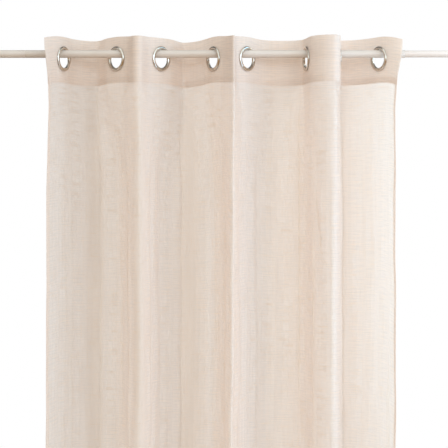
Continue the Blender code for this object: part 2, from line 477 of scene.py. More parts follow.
    def sunk(self, place: float) -> float:
        """How far the cloth sinks from where its eyelets hold it.

        Args:
            place: a place across the cut panel.

        Returns:
            The distance, which is least at the eyelets and most in a fold or corner.
        """
        from_first = place - self.cut.margin
        past_last = place - (self.cut.width - self.cut.margin)
        if from_first < 0:
            return self.stations[0].sink + self.left.droop * (from_first / self.cut.margin) ** 2
        if past_last > 0:
            return self.stations[-1].sink + self.right.droop * (past_last / self.cut.margin) ** 2
        index = min(int(from_first / self.cut.spacing), len(self.folds) - 1)
        share = from_first / self.cut.spacing - index
        at_eyelets = self.stations[index].sink * (1 - share) + self.stations[index + 1].sink * share
        in_fold = math.sin(math.pi * share) ** 2
        return at_eyelets + (self.folds[index].sink - at_eyelets) * in_fold


# -------------------------------------------------------------------------- finishes


def linear(hex_colour: str) -> tuple[float, float, float, float]:
    """Turn an sRGB hex colour into a linear one, by the standard's own curve.

    Args:
        hex_colour: the colour as "#RRGGBB".

    Returns:
        Linear red, green and blue, and an alpha of 1.
    """
    channels = [int(hex_colour[i : i + 2], 16) / 255 for i in (1, 3, 5)]
    turned = [c / 12.92 if c <= 0.04045 else ((c + 0.055) / 1.055) ** 2.4 for c in channels]
    return (turned[0], turned[1], turned[2], 1.0)


class NodeSheet:
    """The nodes of a material or the world, added one at a time."""

    def __init__(self, owner: bpy.types.Material | bpy.types.World) -> None:
        """Clear the owner's nodes, to start afresh.

        Args:
            owner: the material or the world that the nodes belong to.
        """
        owner.use_nodes = True
        self.owner = owner
        self.tree = owner.node_tree
        self.tree.nodes.clear()

    def add(
        self, kind: str, inputs: dict[int | str, object] | None = None, **settings: object
    ) -> bpy.types.Node:
        """Add a node.

        Args:
            kind: the node's type name without its ShaderNode prefix.
            inputs: for each input's name or number, a value or an output to link.
            settings: the node's own properties.

        Returns:
            The new node.
        """
        node = self.tree.nodes.new("ShaderNode" + kind)
        for key, value in settings.items():
            setattr(node, key, value)
        for key, value in (inputs or {}).items():
            if isinstance(value, bpy.types.NodeSocket):
                self.tree.links.new(value, node.inputs[key])
            else:
                node.inputs[key].default_value = value
        return node


@dataclass(frozen=True)
class Streak:
    """An unevenness of the weave: how far it runs across and down, in millimetres, and
    how much of the cover it gives and takes."""

    across_mm: float
    down_mm: float
    swing: float


@dataclass(frozen=True)
class LinenVoile:
    """Polyester voile spun and woven to look like linen, ecru, washed and pressed.

    An open plain weave: what shows between the threads is what is behind them, so the
    cloth reads as a warm veil. Uneven spun threads give it short faint streaks both
    ways. Where it turns into a fold its threads close up, and it looks denser. Along
    its creases it is drawn denser still as painted shade, and thinner on some ridges as
    painted light. Its threads are 0.5 mm apart, too fine to show, so about four are
    drawn as one.
    """

    name: str = "linen_voile"
    thread: str = "#F6E8DE"
    thick_thread: str = "#F1E0D2"
    cover: float = 0.85
    weft: Streak = Streak(44.0, 2.1, 0.14)
    warp: Streak = Streak(1.9, 64.0, 0.022)
    bands: Streak = Streak(8.0, 380.0, 0.04)
    clouds: Streak = Streak(140.0, 140.0, 0.02)
    streak_detail: float = 2.0
    streak_roughness: float = 0.6
    streak_range: tuple[float, float] = (0.25, 0.75)
    weft_slubs: tuple[float, float] = (0.56, 0.72)
    warp_slubs: tuple[float, float] = (0.60, 0.78)
    slub_cover: float = 0.06
    lets_through: float = 0.40
    doubled_lets_through: float = 0.30
    roughness: float = 0.85
    sheen: float = 0.12
    relief_mm: float = 0.10
    relief_strength: float = 0.6

    def doubled(self) -> "LinenVoile":
        """The same cloth where two layers lie together, and less light passes."""
        return replace(self, name=self.name + "_doubled", lets_through=self.doubled_lets_through)

    def uneven(
        self, sheet: NodeSheet, cut: bpy.types.NodeSocket, streak: Streak
    ) -> bpy.types.NodeSocket:
        """Streaks that run over the cut cloth.

        Args:
            sheet: the material's nodes.
            cut: the place on the cut cloth, in metres.
            streak: how far they run across and down.

        Returns:
            The output that holds how thick the threads are, from 0 to 1.
        """
        stretch = (1 / (streak.across_mm * MM), 1 / (streak.down_mm * MM), 1.0)
        place = sheet.add("VectorMath", {0: cut, 1: stretch}, operation="MULTIPLY")
        noise = sheet.add(
            "TexNoise",
            {
                "Vector": place.outputs[0],
                "Scale": 1.0,
                "Detail": self.streak_detail,
                "Roughness": self.streak_roughness,
            },
            noise_dimensions="2D",
        )
        return noise.outputs["Fac"]

    def woven_cover(
        self, sheet: NodeSheet, cut: bpy.types.NodeSocket
    ) -> tuple[bpy.types.NodeSocket, bpy.types.NodeSocket]:
        """How much of the cloth's area its threads cover, and where they are thick.

        Args:
            sheet: the material's nodes.
            cut: the place on the cut cloth, in metres.

        Returns:
            The output that holds the cover, and the one that holds the slubs, both
            from 0 to 1.
        """
        streaks = (self.weft, self.warp, self.bands, self.clouds)
        noises = [self.uneven(sheet, cut, streak) for streak in streaks]
        weft_slub, warp_slub = (
            sheet.add("MapRange", {0: noise, 1: thin, 2: thick}).outputs[0]
            for noise, (thin, thick) in zip(noises, (self.weft_slubs, self.warp_slubs))
        )
        slub = sheet.add("Math", {0: weft_slub, 1: warp_slub}, operation="MAXIMUM").outputs[0]
        cover = self.cover
        low, high = self.streak_range
        for noise, streak in zip(noises, streaks):
            half = streak.swing / 2
            part = sheet.add("MapRange", {0: noise, 1: low, 2: high, 3: -half, 4: half}).outputs[0]
            cover = sheet.add("Math", {0: part, 1: cover}, operation="ADD").outputs[0]
        cover = sheet.add(
            "Math",
            {0: slub, 1: self.slub_cover, 2: cover},
            operation="MULTIPLY_ADD",
            use_clamp=True,
        ).outputs[0]
        return cover, slub

    def material(self) -> bpy.types.Material:
        """Make the cloth's material.

        Returns:
            The material: matt threads that let light through, with gaps between them.
        """
        sheet = NodeSheet(bpy.data.materials.new(self.name))
        cut = sheet.add("UVMap", uv_map=CUT_UV).outputs[0]
        cover, slub = self.woven_cover(sheet, cut)
        opening = sheet.add("Math", {0: 1.0, 1: cover}, operation="SUBTRACT")
        # How much denser the cloth is drawn: where it turns away from the front, and along its
        # creases as painted shade, thinner on some ridges as painted light. Denser cloth shows less
        # of the white behind it.
        crowding_and_shade = sheet.add("Attribute", attribute_name=CROWDING_AND_SHADE).outputs["Fac"]
        seen_open = sheet.add(
            "Math", {0: opening.outputs[0], 1: crowding_and_shade}, operation="POWER", use_clamp=True
        )
        colour = sheet.add(
            "Mix",
            {0: slub, 6: linear(self.thread), 7: linear(self.thick_thread)},
            data_type="RGBA",
        ).outputs[2]
        relief = sheet.add(
            "Bump",
            {
                "Height": cover,
                "Distance": self.relief_mm * MM,
                "Strength": self.relief_strength,
            },
        ).outputs[0]
        facing = sheet.add(
            "BsdfPrincipled",
            {
                "Base Color": colour,
                "Roughness": self.roughness,
                "Sheen Weight": self.sheen,
                "Normal": relief,
            },
        )
        through = sheet.add("BsdfTranslucent", {"Color": colour})
        threads = sheet.add(
            "MixShader", {0: self.lets_through, 1: facing.outputs[0], 2: through.outputs[0]}
        )
        gaps = sheet.add("BsdfTransparent")
        cloth = sheet.add(
            "MixShader", {0: seen_open.outputs[0], 1: threads.outputs[0], 2: gaps.outputs[0]}
        )
        sheet.add("OutputMaterial", {"Surface": cloth.outputs[0]})
        return sheet.owner


@dataclass(frozen=True)
class SewingThread:
    """Spun polyester sewing thread in the cloth's own ecru, matt and faintly furry."""

    name: str = "sewing_thread"
    colour: str = "#E6D0BC"
    ply: str = "#CDB39B"
    ply_mm: float = 0.5
    ply_detail: float = 1.0
    roughness: float = 0.8

    def material(self) -> bpy.types.Material:
        """Make the thread's material.

        Returns:
            The material, with its plies as a fine mottle.
        """
        sheet = NodeSheet(bpy.data.materials.new(self.name))
        place = sheet.add("TexCoord").outputs["Object"]
        twist = sheet.add(
            "TexNoise",
            {"Vector": place, "Scale": 1 / (self.ply_mm * MM), "Detail": self.ply_detail},
        ).outputs["Fac"]
        colour = sheet.add(
            "Mix", {0: twist, 6: linear(self.colour), 7: linear(self.ply)}, data_type="RGBA"
        ).outputs[2]
        shader = sheet.add("BsdfPrincipled", {"Base Color": colour, "Roughness": self.roughness})
        sheet.add("OutputMaterial", {"Surface": shader.outputs[0]})
        return sheet.owner


@dataclass(frozen=True)
class BrightNickel:
    """Pressed brass rings, polished and nickel plated: a bright mirror, warm grey, with
    a faint haze from handling that softens some of its reflections."""

    name: str = "bright_nickel"
    plate: str = "#DED7CE"
    haze: str = "#CBC1B5"
    haze_mm: float = 9.0
    haze_detail: float = 3.0
    haze_range: tuple[float, float] = (0.35, 0.7)
    polished: float = 0.10
    hazed: float = 0.24

    def material(self) -> bpy.types.Material:
        """Make the plated metal's material.

        Returns:
            The material, rougher and darker where it is hazed.
        """
        sheet = NodeSheet(bpy.data.materials.new(self.name))
        place = sheet.add("TexCoord").outputs["Object"]
        haze = sheet.add(
            "TexNoise",
            {"Vector": place, "Scale": 1 / (self.haze_mm * MM), "Detail": self.haze_detail},
        ).outputs["Fac"]
        colour = sheet.add(
            "Mix", {0: haze, 6: linear(self.plate), 7: linear(self.haze)}, data_type="RGBA"
        ).outputs[2]
        least, most = self.haze_range
        roughness = sheet.add(
            "MapRange", {0: haze, 1: least, 2: most, 3: self.polished, 4: self.hazed}
        ).outputs[0]
        shader = sheet.add(
            "BsdfPrincipled", {"Base Color": colour, "Roughness": roughness, "Metallic": 1.0}
        )
        sheet.add("OutputMaterial", {"Surface": shader.outputs[0]})
        return sheet.owner


@dataclass(frozen=True)
class RodEnamel:
    """Steel tube, powder coated and baked in a satin enamel: soft highlights over a
    faint orange peel, a little worn where the rings have slid."""

    name: str
    coat: str
    rubbed: str
    roughness: float = 0.38
    ior: float = 1.5
    peel_mm: float = 1.6
    peel_detail: float = 1.0
    peel_depth_mm: float = 0.02
    peel_strength: float = 0.4
    rub_mm: float = 30.0
    rub_detail: float = 4.0
    rub_range: tuple[float, float] = (0.3, 0.7)
    rub_swing: float = 0.06

    def material(self) -> bpy.types.Material:
        """Make the enamel's material.

        Returns:
            The material, smoother where it is rubbed.
        """
        sheet = NodeSheet(bpy.data.materials.new(self.name))
        place = sheet.add("TexCoord").outputs["Object"]
        rub = sheet.add(
            "TexNoise",
            {"Vector": place, "Scale": 1 / (self.rub_mm * MM), "Detail": self.rub_detail},
        ).outputs["Fac"]
        colour = sheet.add(
            "Mix", {0: rub, 6: linear(self.coat), 7: linear(self.rubbed)}, data_type="RGBA"
        ).outputs[2]
        least, most = self.rub_range
        matt = self.roughness + self.rub_swing
        worn = self.roughness - self.rub_swing
        roughness = sheet.add("MapRange", {0: rub, 1: least, 2: most, 3: matt, 4: worn}).outputs[0]
        peel = sheet.add(
            "TexNoise",
            {"Vector": place, "Scale": 1 / (self.peel_mm * MM), "Detail": self.peel_detail},
        ).outputs["Fac"]
        relief = sheet.add(
            "Bump",
            {
                "Height": peel,
                "Distance": self.peel_depth_mm * MM,
                "Strength": self.peel_strength,
            },
        ).outputs[0]
        shader = sheet.add(
            "BsdfPrincipled",
            {
                "Base Color": colour,
                "Roughness": roughness,
                "IOR": self.ior,
                "Normal": relief,
            },
        )
        sheet.add("OutputMaterial", {"Surface": shader.outputs[0]})
        return sheet.owner


# ------------------------------------------------------------------------------ cloth


def add_piece(name: str, mesh: bpy.types.Mesh, material: bpy.types.Material) -> bpy.types.Object:
    """Link a mesh to the scene as a piece of the curtain.

    Args:
        name: the piece's name.
        mesh: its mesh.
        material: its finish.

    Returns:
        The new object.
    """
    piece = bpy.data.objects.new(name, mesh)
    bpy.context.scene.collection.objects.link(piece)
    mesh.materials.append(material)
    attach(piece, BODY)
    return piece


def report(piece: bpy.types.Object) -> None:
    """Log a piece's name and how many faces it has."""
    LOG.info("%s: %d faces", piece.name, len(piece.data.polygons))


def joined(name: str, meshes: list[bpy.types.Mesh]) -> bpy.types.Mesh:
    """Join meshes into one.

    Args:
        name: the new mesh's name.
        meshes: the meshes, which are removed.

    Returns:
        The joined mesh.
    """
    shape = bmesh.new()
    for mesh in meshes:
        shape.from_mesh(mesh)
        bpy.data.meshes.remove(mesh)
    whole = bpy.data.meshes.new(name)
    shape.to_mesh(whole)
    shape.free()
    return whole


def stepped(start: float, end: float, largest: float) -> np.ndarray:
    """Even places from start to end, no further apart than largest, without start."""
    count = max(1, math.ceil(abs(end - start) / largest))
    return np.linspace(start, end, count + 1)[1:]


@dataclass(frozen=True)
class ClothGrid:
    """A piece of the hung cloth, a row for each height: where its points lie on the cut
    panel, where they hang, which way its back is, how crowded its threads are, with the
    painted shade and painted light of the creases in it, and which of its cells are
    cloth."""

    flat: np.ndarray
    points: np.ndarray
    backs: np.ndarray
    crowding_and_shade: np.ndarray
    solid: np.ndarray
    round_steps: int = 4

    def from_edge(self, values: np.ndarray, edge: Edge) -> np.ndarray:
        """Some of the grid's values, seen from an edge of the cloth.

        Args:
            values: the values, a row for each height.
            edge: the edge.

        Returns:
            The values, with those at the edge as their first row.
        """
        if edge in (Edge.LEFT, Edge.RIGHT):
            values = values.swapaxes(0, 1)
        return values[::-1] if edge in (Edge.BOTTOM, Edge.RIGHT) else values

    def set_back(self, depth: float) -> "ClothGrid":
        """The same cloth, further back."""
        return replace(self, points=self.points + self.backs * depth)

    def turned_over(self, edge: Edge, depth: float) -> "ClothGrid":
        """The layer that an edge is turned over into.

        Args:
            edge: the edge that is folded.
            depth: how far behind this layer the new one lies, below 0 in front of it.

        Returns:
            The new layer, with the round of the fold as its first rows.
        """
        flat = self.from_edge(self.flat, edge).copy()
        points = self.from_edge(self.points, edge)
        backs = self.from_edge(self.backs, edge)
        crowding_and_shade = self.from_edge(self.crowding_and_shade, edge)
        solid = self.from_edge(self.solid, edge)
        outward = points[0] - points[1]
        outward /= np.linalg.norm(outward, axis=1)[:, None]
        angles = np.linspace(0, math.pi, self.round_steps + 1)[:-1]
        rounds = [
            points[0]
            + backs[0] * (1 - math.cos(angle)) * depth / 2
            + outward * math.sin(angle) * abs(depth) / 2
            for angle in angles
        ]
        axis = 1 if edge in (Edge.TOP, Edge.BOTTOM) else 0
        flat[..., axis] = 2 * flat[0, 0, axis] - flat[..., axis]
        repeated = [0] * self.round_steps
        return ClothGrid(
            np.concatenate((flat[repeated], flat)),
            np.concatenate((np.array(rounds), points + backs * depth)),
            np.concatenate((backs[repeated], backs)),
            np.concatenate((crowding_and_shade[repeated], crowding_and_shade)),
            np.concatenate((np.ones_like(solid[repeated]), solid)),
        )


@dataclass
class VoilePanel:
    """The curtain's cloth, with its turned heading, its hems and their stitching."""

    cut: PanelCut
    plan: FoldPlan
    cloth: LinenVoile
    thread: SewingThread

    # Its grid: across beside the eyelets and in the hems, along the pressed creases
    # and over the folds, and down in the heading, where the body settles and below.
    fine_step: float = 0.0024
    crease_step: float = 0.0013
    fold_step: float = 0.0031
    heading_step: float = 0.0048
    settling_step: float = 0.0090
    body_step: float = 0.0180
    height_digits: int = 5

    # Its holes, with the share of a fine step from which a point moves to the edge.
    hole_radius: float = 0.0240
    edge_share: float = 0.75

    # Its layers and its stitches, each with its ends sunk and its middle raised.
    layer_gap: float = 0.0007
    seam_in: float = 0.002
    stitch: float = 0.0030
    stitch_gap: float = 0.0009
    stitch_lifts: tuple[float, ...] = (-0.5, 0.9, -0.5)
    stitch_girths: tuple[float, ...] = (0.6, 1.0, 0.6)
    stitch_sides: int = 6
    thread_radius: float = 0.00022

    # How much closer the threads seem where the cloth turns away, and how far to
    # each side of a point its direction is read.
    crowding_share: float = 0.05
    most_crowded: float = 1.3
    look: float = 0.001

    ripples: tuple[Ripple, ...] = (
        Ripple(0.0610, 0.540, 0.0016, 0.9),
        Ripple(0.0170, 0.460, 0.0004, 0.7),
    )
    # Each crease's seventh value draws the cloth denser along it: partly threads that stand closer,
    # partly painted shade in troughs and in the valleys and tips of folds; below 0 it is painted
    # light on a ridge. Those with no height are bands of painted shade only.
    creases: tuple[Crease, ...] = (
        Crease(0.0900, 0.016, 0.0020, 0.30, 1.40, 0.006),
        Crease(0.1540, 0.034, 0.0000, 0.05, 2.30, 0.0, 0.9),
        Crease(0.1695, 0.007, -0.0024, 0.02, 2.20, -0.003, 0.5, True),
        Crease(0.1800, 0.012, 0.0018, 0.12, 1.10, -0.004),
        Crease(0.2758, 0.006, -0.0022, 0.26, 0.64, 0.0, 0.7, True),
        Crease(0.3000, 0.016, 0.0020, 0.60, 1.80, -0.006),
        Crease(0.3440, 0.030, 0.0000, 0.05, 2.30, 0.0, 1.2),
        Crease(0.3900, 0.014, -0.0022, 0.22, 0.90, 0.006, 0.3),
        Crease(0.4317, 0.005, 0.0018, 0.24, 0.60, 0.004, -0.4, True),
        Crease(0.4640, 0.016, 0.0018, 0.40, 1.40, -0.008),
        Crease(0.5042, 0.006, -0.0026, 0.06, 2.20, 0.003, 0.8, True),
        Crease(0.5240, 0.040, 0.0000, 0.05, 2.30, 0.0, 0.9),
        Crease(0.5700, 0.018, 0.0022, 0.30, 1.50, 0.008, -0.2),
        Crease(0.6440, 0.014, -0.0020, 0.26, 1.90, -0.006, 0.3),
        Crease(0.8290, 0.014, -0.0020, 0.14, 1.20, 0.006, 0.3),
        Crease(0.8800, 0.020, 0.0022, 0.30, 1.70, -0.008),
        Crease(0.9320, 0.006, -0.0022, 0.10, 0.90, 0.004, 0.6, True),
        Crease(1.0040, 0.005, 0.0020, 0.30, 1.30, 0.004, 0.6, True),
        Crease(1.0080, 0.010, -0.0026, 0.33, 0.49, 0.030, 0.5),
        Crease(1.0650, 0.010, 0.0020, 0.26, 1.10, 0.0, -0.3),
        Crease(1.2250, 0.006, -0.0018, 0.12, 1.90, 0.0, 0.5, True),
        Crease(1.2660, 0.018, 0.0020, 0.24, 1.30, 0.006),
        Crease(1.2960, 0.016, -0.0026, 0.20, 0.62, 0.012, 0.4),
        Crease(1.3640, 0.012, -0.0020, 0.45, 1.60, 0.004, 0.3),
    )

    def columns(self) -> np.ndarray:
        """Work out the places of the sheet's columns.

        Returns:
            Places across the cut panel from left to right, finer beside the eyelets,
            in the side hems and along the pressed creases.
        """
        cut = self.cut
        half = self.plan.flat_half
        centres = [cut.eyelet_place(index) for index in range(cut.eyelets)]
        places = [np.array([0.0]), stepped(0.0, cut.side_hem, self.fine_step)]
        last = cut.side_hem
        for centre in centres:
            places.append(stepped(last, centre - half, self.fold_step))
            last = centre + half
            places.append(stepped(centre - half, last, self.fine_step))
        places.append(stepped(last, cut.width - cut.side_hem, self.fold_step))
        places.append(stepped(cut.width - cut.side_hem, cut.width, self.fine_step))
        for crease in self.creases:
            if crease.pressed:
                middle = crease.across + crease.drift / 2
                reach = crease.width + crease.wander + abs(crease.drift) / 2
                beside = stepped(middle - reach, middle + reach, self.crease_step)
                clear = [min(abs(place - centre) for centre in centres) > half for place in beside]
                places.append(beside[clear])
        every = np.sort(np.concatenate(places))
        apart = np.concatenate(([True], np.diff(every) > self.crease_step / 2))
        apart[-1] = True
        return every[apart]

    def rows(self) -> np.ndarray:
        """Work out the heights of the sheet's rows.

        Returns:
            Heights from the top edge to the hem, finest beside the eyelets.
        """
        cut = self.cut
        over = cut.eyelet_height + self.plan.flat_half
        under = cut.eyelet_height - self.plan.flat_half
        settled = cut.heading_foot - self.plan.settle_drop
        stretches = (
            (cut.top, over, self.heading_step),
            (over, under, self.fine_step),
            (under, cut.heading_foot, self.heading_step),
            (cut.heading_foot, settled, self.settling_step),
            (settled, cut.hem_line, self.body_step),
            (cut.hem_line, cut.hem, self.body_step),
        )
        return np.concatenate(([cut.top], *(stepped(*stretch) for stretch in stretches)))

    def raised(self, places: np.ndarray, height: float) -> np.ndarray:
        """How far the creases and ripples stand out to the front along a row.

        Args:
            places: places across the cut panel.
            height: the row's height.

        Returns:
            A distance for each place.
        """
        below = self.cut.top - height
        in_body = smooth((below - self.cut.heading) / self.plan.settle_drop)
        ripples = sum(ripple.wave(places, below) for ripple in self.ripples)
        creases = sum(crease.height * crease.profile(places, below) for crease in self.creases)
        return in_body * ripples + creases

    def closed(self, places: np.ndarray, height: float) -> np.ndarray:
        """How much denser the creases draw the cloth along a row: threads that stand closer, and
        painted shade, with painted light where it is below 0.
        """
        below = self.cut.top - height
        return sum(crease.closed * crease.profile(places, below) for crease in self.creases)

    def hang(
        self, places: np.ndarray, heights: np.ndarray, solid: np.ndarray | None = None
    ) -> ClothGrid:
        """Hang a grid of the cloth in its folds.

        Args:
            places: places across the cut panel, a row for each height and a column
                for each place.
            heights: the height of each of them before the cloth sinks.
            solid: which cells are cloth, or None where all of them are.

        Returns:
            The hung grid.
        """
        if solid is None:
            solid = np.ones((places.shape[0] - 1, places.shape[1] - 1), dtype=bool)
        points = np.zeros((*places.shape, 3))
        backs = np.zeros_like(points)
        crowding_and_shade = np.ones(places.shape)
        for row, (across, up) in enumerate(zip(places, heights)):
            height = round(float(np.median(up)), self.height_digits)
            along, path = self.plan.path_at(height)
            ahead = read_along(path, along, across + self.look)
            tangent = ahead - read_along(path, along, across - self.look)
            tangent /= np.linalg.norm(tangent, axis=1)[:, None]
            base = read_along(path, along, across)
            to_front = np.column_stack((tangent[:, 1], -tangent[:, 0]))
            base += to_front * self.raised(across, height)[:, None]
            points[row, :, :2] = base
            points[row, :, 2] = up - np.array([self.plan.sunk(place) for place in across])
            run = np.gradient(base, axis=0) if len(base) > 1 else tangent
            run /= np.maximum(np.linalg.norm(run, axis=1), NOTHING)[:, None]
            backs[row, :, 0] = -run[:, 1]
            backs[row, :, 1] = run[:, 0]
            closed_up = 1 / np.maximum(np.abs(run[:, 0]), NOTHING) - 1
            turned_away = np.minimum(1 + self.crowding_share * closed_up, self.most_crowded)
            # The creases add their painted shade and painted light here.
            crowding_and_shade[row] = turned_away + self.closed(across, height)
        return ClothGrid(np.stack((places, heights), axis=-1), points, backs, crowding_and_shade, solid)

    def round_the_holes(self, places: np.ndarray, heights: np.ndarray) -> np.ndarray:
        """Move the grid's points beside each eyelet on to a circle, and find the holes.

        Args:
            places: places across the cut panel, changed here.
            heights: their heights, changed here.

        Returns:
            For each cell of the grid, whether it is cloth.
        """
        cut = self.cut
        across = (places[:-1, :-1] + places[1:, 1:]) / 2
        up = (heights[:-1, :-1] + heights[1:, 1:]) / 2
        solid = np.ones(across.shape, dtype=bool)
        for index in range(cut.eyelets):
            centre = cut.eyelet_place(index)
            solid &= np.hypot(across - centre, up - cut.eyelet_height) > self.hole_radius
        for index in range(cut.eyelets):
            centre = cut.eyelet_place(index)
            dx = places - centre
            dz = heights - cut.eyelet_height
            distance = np.maximum(np.hypot(dx, dz), NOTHING)
            near = np.abs(distance - self.hole_radius) < self.edge_share * self.fine_step
            scale = np.where(near, self.hole_radius / distance, 1.0)
            places += dx * (scale - 1)
            heights += dz * (scale - 1)
        return solid

    def layer(self, name: str, grid: ClothGrid) -> bpy.types.Mesh:
        """Make a mesh of one layer of cloth.

        Args:
            name: the mesh's name.
            grid: the hung grid.

        Returns:
            The mesh, with the cut's flat layout and how crowded its threads are, the creases'
            painted shade and painted light included.
        """
        count, width = grid.crowding_and_shade.shape
        number = np.arange(count * width).reshape(count, width)
        cells = np.stack(
            (number[:-1, :-1], number[1:, :-1], number[1:, 1:], number[:-1, 1:]), axis=-1
        )
        faces = cells[grid.solid]
        used = np.unique(faces)
        fresh = np.full(count * width, -1)
        fresh[used] = np.arange(len(used))
        mesh = bpy.data.meshes.new(name)
        mesh.from_pydata(grid.points.reshape(-1, 3)[used].tolist(), [], fresh[faces].tolist())
        layout = mesh.uv_layers.new(name=CUT_UV)
        corner = np.empty(len(mesh.loops), dtype=np.int64)
        mesh.loops.foreach_get("vertex_index", corner)
        layout.data.foreach_set("uv", grid.flat.reshape(-1, 2)[used][corner].reshape(-1))
        crowding_and_shade = mesh.attributes.new(CROWDING_AND_SHADE, "FLOAT", "POINT")
        crowding_and_shade.data.foreach_set("value", grid.crowding_and_shade.reshape(-1)[used])
        mesh.shade_smooth()
        mesh.update()
        return mesh

    def heading_grid(self, rows: np.ndarray) -> ClothGrid:
        """Hang the cloth with the eyelets' holes in it.

        Args:
            rows: the heights of the grid's rows.

        Returns:
            The hung grid, over the whole width.
        """
        places, heights = np.meshgrid(self.columns(), rows)
        solid = self.round_the_holes(places, heights)
        return self.hang(places, heights, solid)

    def build_sheet(
        self, material: bpy.types.Material, doubled: bpy.types.Material
    ) -> bpy.types.Object:
        """Make the panel's front layer, from the top edge to the hem.

        Args:
            material: the finish of the single cloth.
            doubled: its finish where the heading or a hem lies behind it.

        Returns:
            The sheet, with both finishes.
        """
        cut = self.cut
        mesh = self.layer("voile_sheet", self.heading_grid(self.rows()))
        sheet = add_piece("voile_sheet", mesh, material)
        mesh.materials.append(doubled)
        layout = mesh.uv_layers[CUT_UV].data
        for face in mesh.polygons:
            places = [layout[corner].uv for corner in face.loop_indices]
            across = sum(place.x for place in places) / len(places)
            height = sum(place.y for place in places) / len(places)
            hemmed = min(across, cut.width - across) < cut.side_hem
            headed = not cut.hem_line < height < cut.heading_foot
            face.material_index = int(hemmed or headed)
        return sheet

    def build_heading(self, material: bpy.types.Material) -> bpy.types.Object:
        """Make the cloth turned over behind the heading and its raw edge tucked in.

        Args:
            material: the finish of doubled cloth.

        Returns:
            Both layers, as one piece.
        """
        rows = self.rows()
        heading = rows[rows >= self.cut.heading_foot - SAME_PLACE]
        over = self.heading_grid(heading).turned_over(Edge.TOP, 2 * self.layer_gap)
        behind = self.heading_grid(heading[heading <= self.cut.heading_foot + self.cut.tucked])
        tucked = behind.set_back(2 * self.layer_gap).turned_over(Edge.BOTTOM, -self.layer_gap)
        layers = [self.layer("heading_turned", over), self.layer("heading_tucked", tucked)]
        return add_piece("heading_layers", joined("heading_layers", layers), material)

    def build_hems(self, material: bpy.types.Material) -> bpy.types.Object:
        """Make the second layer of the two side hems and of the bottom hem.

        Args:
            material: the finish of doubled cloth.

        Returns:
            The three hems, as one piece.
        """
        cut = self.cut
        rows = self.rows()
        columns = self.columns()
        body = rows[rows <= cut.heading_foot + SAME_PLACE]
        left = columns[columns <= cut.side_hem + SAME_PLACE]
        right = columns[columns >= cut.width - cut.side_hem - SAME_PLACE]
        bottom = rows[rows <= cut.hem_line + SAME_PLACE]
        hems = (
            ("left_hem", left, body, Edge.LEFT, self.layer_gap),
            ("right_hem", right, body, Edge.RIGHT, self.layer_gap),
            ("bottom_hem", columns, bottom, Edge.BOTTOM, 2 * self.layer_gap),
        )
        layers = [
            self.layer(name, self.hang(*np.meshgrid(across, down)).turned_over(edge, depth))
            for name, across, down, edge, depth in hems
        ]
        return add_piece("turned_hems", joined("turned_hems", layers), material)

    def stitch_line(self, grid: ClothGrid, shape: bmesh.types.BMesh) -> None:
        """Sew one line of stitches along a hung line of the cloth.

        Args:
            grid: a grid of a single row or column, its points in order.
            shape: the mesh that the stitches are added to.
        """
        points = grid.points.reshape(-1, 3)
        backs = grid.backs.reshape(-1, 3)
        run = np.concatenate(([0.0], np.cumsum(np.linalg.norm(np.diff(points, axis=0), axis=1))))
        start = self.stitch_gap
        while start + self.stitch < run[-1]:
            end = start + self.stitch - self.stitch_gap
            stops = np.linspace(start, end, len(self.stitch_lifts))
            line, back = (read_along(values, run, stops) for values in (points, backs))
            self.one_stitch(line, back, shape)
            start += self.stitch

    def one_stitch(self, line: np.ndarray, back: np.ndarray, shape: bmesh.types.BMesh) -> None:
        """Lay one stitch on the cloth's front, its ends sunk into the cloth.

        Args:
            line: its start, middle and end on the cloth.
            back: the cloth's back direction at each of them.
            shape: the mesh that it is added to.
        """
        ahead = line[-1] - line[0]
        ahead /= max(np.linalg.norm(ahead), NOTHING)
        rings = []
        for place, away, lift, girth in zip(line, back, self.stitch_lifts, self.stitch_girths):
            beside = np.cross(ahead, away)
            centre = place - away * self.thread_radius * lift
            ring = []
            for turn in range(self.stitch_sides):
                angle = math.tau * turn / self.stitch_sides
                reach = (beside * math.cos(angle) - away * math.sin(angle)) * self.thread_radius
                ring.append(shape.verts.new(centre + reach * girth))
            rings.append(ring)
        for first, second in zip(rings, rings[1:]):
            for turn in range(self.stitch_sides):
                after = (turn + 1) % self.stitch_sides
                shape.faces.new((first[turn], first[after], second[after], second[turn]))
        shape.faces.new(rings[0][::-1])
        shape.faces.new(rings[-1])

    def build_stitching(self, material: bpy.types.Material) -> bpy.types.Object:
        """Sew down the heading, both side hems and the bottom hem.

        Args:
            material: the thread's finish.

        Returns:
            All of the stitches, as one piece.
        """
        cut = self.cut
        shape = bmesh.new()
        across = self.columns()
        for height in (cut.heading_foot + self.seam_in, cut.hem_line - self.seam_in):
            self.stitch_line(self.hang(*np.meshgrid(across, [height])), shape)
        rows = self.rows()
        down = rows[rows <= cut.heading_foot]
        side = cut.side_hem - self.seam_in
        for place in (side, cut.width - side):
            self.stitch_line(self.hang(*np.meshgrid([place], down)), shape)
        mesh = bpy.data.meshes.new("stitching")
        shape.to_mesh(mesh)
        shape.free()
        mesh.shade_smooth()
        return add_piece("stitching", mesh, material)

    def build(self, eyelets: list[bpy.types.Object]) -> None:
        """Args:
            eyelets: the rings that are pressed into the heading; not used.
        """
        voile = self.cloth.material()
        doubled = self.cloth.doubled().material()
        sheet = self.build_sheet(voile, doubled)
        heading = self.build_heading(doubled)
        hems = self.build_hems(doubled)
        stitching = self.build_stitching(self.thread.material())
        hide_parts("voile_panel")
        for piece in (sheet, heading, hems, stitching):
            report(piece)


# ----------------------------------------------------------------- turned metal pieces


